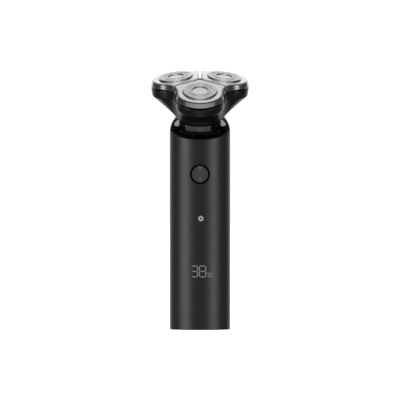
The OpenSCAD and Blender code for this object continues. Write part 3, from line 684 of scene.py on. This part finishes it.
def slotted(name, radii, tops, undersides, steps, is_open, matrix):
    """A turned plate with slots: closed cells of a polar grid, with walls wherever a cell is missing."""
    count = len(radii)
    turns = np.arange(steps) * 2 * math.pi / steps
    points = []
    for heights in (tops, undersides):
        for r, z in zip(radii, heights):
            points += [round_point(a, r, z) for a in turns]

    def top(i, j):
        return i * steps + j % steps

    def under(i, j):
        return (count + i) * steps + j % steps

    def solid(i, j):
        return 0 <= i < count - 1 and not is_open((radii[i] + radii[i + 1]) / 2, j % steps)

    faces = []
    for i in range(count - 1):
        for j in range(steps):
            if not solid(i, j):
                continue
            faces.append((top(i, j), top(i + 1, j), top(i + 1, j + 1), top(i, j + 1)))
            faces.append((under(i, j), under(i, j + 1), under(i + 1, j + 1), under(i + 1, j)))
            if not solid(i - 1, j):
                faces.append((top(i, j), top(i, j + 1), under(i, j + 1), under(i, j)))
            if not solid(i + 1, j):
                faces.append((top(i + 1, j), under(i + 1, j), under(i + 1, j + 1), top(i + 1, j + 1)))
            if not solid(i, j - 1):
                faces.append((top(i, j), under(i, j), under(i + 1, j), top(i + 1, j)))
            if not solid(i, j + 1):
                faces.append((top(i, j + 1), top(i + 1, j + 1), under(i + 1, j + 1), under(i, j + 1)))
    return mesh_object(name, points, faces, matrix, 50)


# Slots: the radii that they lie between, how many steps round from one to the next, and how many are open
GUARD_STEPS = 240
SLOTS = [(7.95, 9.5, 4, 1), (5.35, 6.85, 6, 2)]


def guard_slot(radius, step):
    """True where the guard is cut through, at a step round it."""
    return any(inner < radius < outer and step % pitch < width for inner, outer, pitch, width in SLOTS)


# The guard's section: radius, level of its top and level of its underside, in millimetres
GUARD_SECTION = [
    (2.0, -0.8, -1.1), (4.74, -0.8, -1.1), (4.78, -0.5, -1.1), (4.84, -0.16, -1.1), (4.95, -0.02, -1.1),
    (5.12, 0.05, -0.9), (5.35, 0.08, -0.5), (6.1, 0.09, -0.46), (6.85, 0.07, -0.5), (7.08, 0.05, -0.55),
    (7.14, -0.04, -0.6), (7.2, -0.36, -0.66), (7.62, -0.36, -0.66), (7.68, -0.06, -0.6),
    (7.78, 0.01, -0.55), (7.95, 0.03, -0.5), (8.7, 0.04, -0.46), (9.5, 0.0, -0.5), (9.7, -0.03, -3.3),
    (9.9, -0.09, -3.3), (10.1, -0.22, -3.3), (10.24, -0.42, -3.3), (10.3, -0.68, -3.3),
]
# The disc in its middle: radius, level, corner radius
GUARD_CAP = [
    (0, -0.8, 0), (4.64, -0.8, 0), (4.64, -0.72, 0.05), (4.4, -0.62, 0.2), (2.0, -0.5, 0), (0, -0.48, 0),
]


def make_guard(n):
    radii, tops, undersides = zip(*GUARD_SECTION)
    guard = slotted(f"slotted_guard_{n}", radii, tops, undersides, GUARD_STEPS, guard_slot, lobe_frame(n))
    place(guard, f"guard_{n}", GUARD_STEEL, f"guard_{n}")
    cap = lathe(f"guard_disc_{n}", GUARD_CAP, lobe_frame(n), closed=False)
    place(cap, f"guard_{n}", CAP_STEEL, f"guard_cap_{n}")
    return guard


shell = make_shell()
neck = make_neck()
webs = {side: make_web(side, f"neck_web_{name}") for side, name in ((-1, "left"), (1, "right"))}
head_cup = make_head_base()
button = make_button()
bezels = [make_bezel(n) for n in LOBES]
guards = [make_guard(n) for n in LOBES]


# ---------- camera, floor and light ----------
CAMERA_AT = (0, -3, 78.3 * MM)
LENS = 446
BACKDROP = 1.05
AMBIENT = 0.045
# Soft light from the distance: direction, cosines at which it starts and is full, level
GLOWS = [
    ((0, 1, 0), 0.6, 0.9, 0.85),
    ((0, 0.26, 0.966), 0.6, 0.95, 0.8),
    ((0, -1, 0), 0.6, 0.95, 0.06),
    ((0, -0.6, -0.8), 0.86, 0.97, 0.32),
]
STRIP_REACH = 6
STRIP_SPAN = (-2.4, 4)
FRONT_SIZE = (7.2, 2)
KICKER_REACH = 1.5
KICKER_SIZE = (0.7, 0.7)
KICKER_LEVEL = 6.5


def add_camera():
    """A long lens straight in front, level with the middle of the object."""
    data = bpy.data.cameras.new("camera")
    data.lens, data.sensor_width = LENS, 36
    data.clip_start, data.clip_end = 0.1, 50
    cam = bpy.data.objects.new("camera", data)
    cam.location = CAMERA_AT
    cam.rotation_euler = (math.radians(90), 0, 0)
    bpy.context.scene.collection.objects.link(cam)
    bpy.context.scene.camera = cam


def add_floor():
    """A plain white floor as bright as the backdrop, clear from below. It only shows to the camera."""
    mesh = bpy.data.meshes.new("floor")
    reach = 12
    corners = [(-reach, -reach, 0), (reach, -reach, 0), (reach, reach, 0), (-reach, reach, 0)]
    mesh.from_pydata(corners, [], [(0, 1, 2, 3)])
    floor = bpy.data.objects.new("floor", mesh)
    bpy.context.scene.collection.objects.link(floor)
    white = paint("floor", (0.9, 0.9, 0.9), 0.9, Emission_Color=(1, 1, 1, 1), Emission_Strength=BACKDROP)
    from_above = node(white, "ShaderNodeMath", operation="SUBTRACT")
    from_above.inputs[0].default_value = 1
    link(white, node(white, "ShaderNodeNewGeometry").outputs["Backfacing"], from_above.inputs[1])
    link(white, from_above.outputs[0], white.node_tree.nodes["Principled BSDF"].inputs["Alpha"])
    mesh.materials.append(white)
    floor.visible_diffuse = floor.visible_glossy = floor.visible_shadow = False


def add_box_light(name, matrix, size, level, pieces):
    """A soft box that faces along its own -Z and lights only some pieces. Its level is its brightness."""
    data = bpy.data.lights.new(name, "AREA")
    data.shape, (data.size, data.size_y) = "RECTANGLE", size
    data.energy = level * math.pi * size[0] * size[1]
    light = bpy.data.objects.new(name, data)
    light.matrix_world = matrix
    light.visible_camera = False
    lit = bpy.data.collections.new(f"{name}_pieces")
    for piece in pieces:
        lit.objects.link(piece)
    light.light_linking.receiver_collection = lit
    bpy.context.scene.collection.objects.link(light)


def add_strip(name, azimuth, width, level, pieces):
    """A tall, distant soft box at an azimuth from the front towards +X."""
    bottom, top = STRIP_SPAN
    a = math.radians(azimuth)
    towards = Vector((math.sin(a), -math.cos(a), 0))
    middle = towards * STRIP_REACH + Vector((0, 0, (bottom + top) / 2))
    across = (math.cos(a), math.sin(a), 0)
    add_box_light(name, axes_frame(middle, towards, across), (width, top - bottom), level, pieces)


def add_boxes():
    """The soft boxes. Each lights only the pieces whose shine it is there for."""
    add_strip("left_box", azimuth=-59, width=3.5, level=3.3, pieces=[shell, head_cup])
    add_strip("right_box", azimuth=53, width=3, level=2.95, pieces=[shell, head_cup])
    below = axes_frame((-0.4, -0.2, -0.5), (0, 0, -1))
    add_box_light("low_box", below, size=(3.1, 2.2), level=1.05, pieces=[neck])
    front = axes_frame((0, -1.3, -0.25), (0, -1, 0))
    add_box_light("front_box", front, FRONT_SIZE, level=0.24, pieces=[bezels[0], *guards, button])
    add_box_light("rear_lobes_box", front, FRONT_SIZE, level=0.75, pieces=bezels[1:])
    above = axes_frame((0, -1.2, 0.7), (0, -1.2, 0.55))
    add_box_light("rim_box", above, size=(1.2, 1.6), level=0.8, pieces=guards)
    high = axes_frame((0, -1.8, 1.5), (0, -1.8, 1.38))
    add_box_light("high_box", high, size=(0.35, 1), level=4.5, pieces=[button])


def add_kickers():
    """One small box for each web, where the web mirrors it to the front."""
    for side, web in webs.items():
        facing = HEAD.to_3x3() @ Vector((side * math.sin(WEB_TURN), -math.cos(WEB_TURN), 0))
        towards = Vector((0, 1, 0)).reflect(facing)
        kicker = axes_frame(HEAD.translation + towards * KICKER_REACH, towards)
        add_box_light(f"kicker_{web.name}", kicker, KICKER_SIZE, KICKER_LEVEL, [web])


def add_world():
    """White for the camera. Its light is dim in front and at the sides, and bright behind and above."""
    world = bpy.data.worlds.new("studio")
    bpy.context.scene.world = world
    world.use_nodes = True
    tree = world.node_tree

    def add(kind, *sources, **values):
        """The first output of a new node whose first inputs come from sources."""
        made = new_node(tree, kind, **values)
        for socket, source in zip(made.inputs, sources):
            tree.links.new(source, socket)
        return made.outputs[0]

    coords = tree.nodes.new("ShaderNodeTexCoord")
    level = add("ShaderNodeValue")
    level.default_value = AMBIENT
    for towards, start, end, strength in GLOWS:
        facing = add("ShaderNodeVectorMath", coords.outputs["Generated"], operation="DOT_PRODUCT").node
        facing.inputs[1].default_value = towards
        spread = {"From_Min": start, "From_Max": end, "To_Max": strength}
        glow = add("ShaderNodeMapRange", facing.outputs["Value"], interpolation_type="SMOOTHSTEP", **spread)
        level = add("ShaderNodeMath", glow, level, operation="ADD")
    seen = tree.nodes.new("ShaderNodeLightPath").outputs["Is Camera Ray"]
    mixed = add("ShaderNodeMapRange", seen, To_Max=BACKDROP)
    tree.links.new(level, mixed.node.inputs["To Min"])
    tree.links.new(mixed, tree.nodes["Background"].inputs["Strength"])
    tree.nodes["Background"].inputs["Color"].default_value = (1, 1, 1, 1)


bpy.context.scene.view_settings.view_transform = "Standard"
add_camera()
add_floor()
add_world()
add_boxes()
add_kickers()
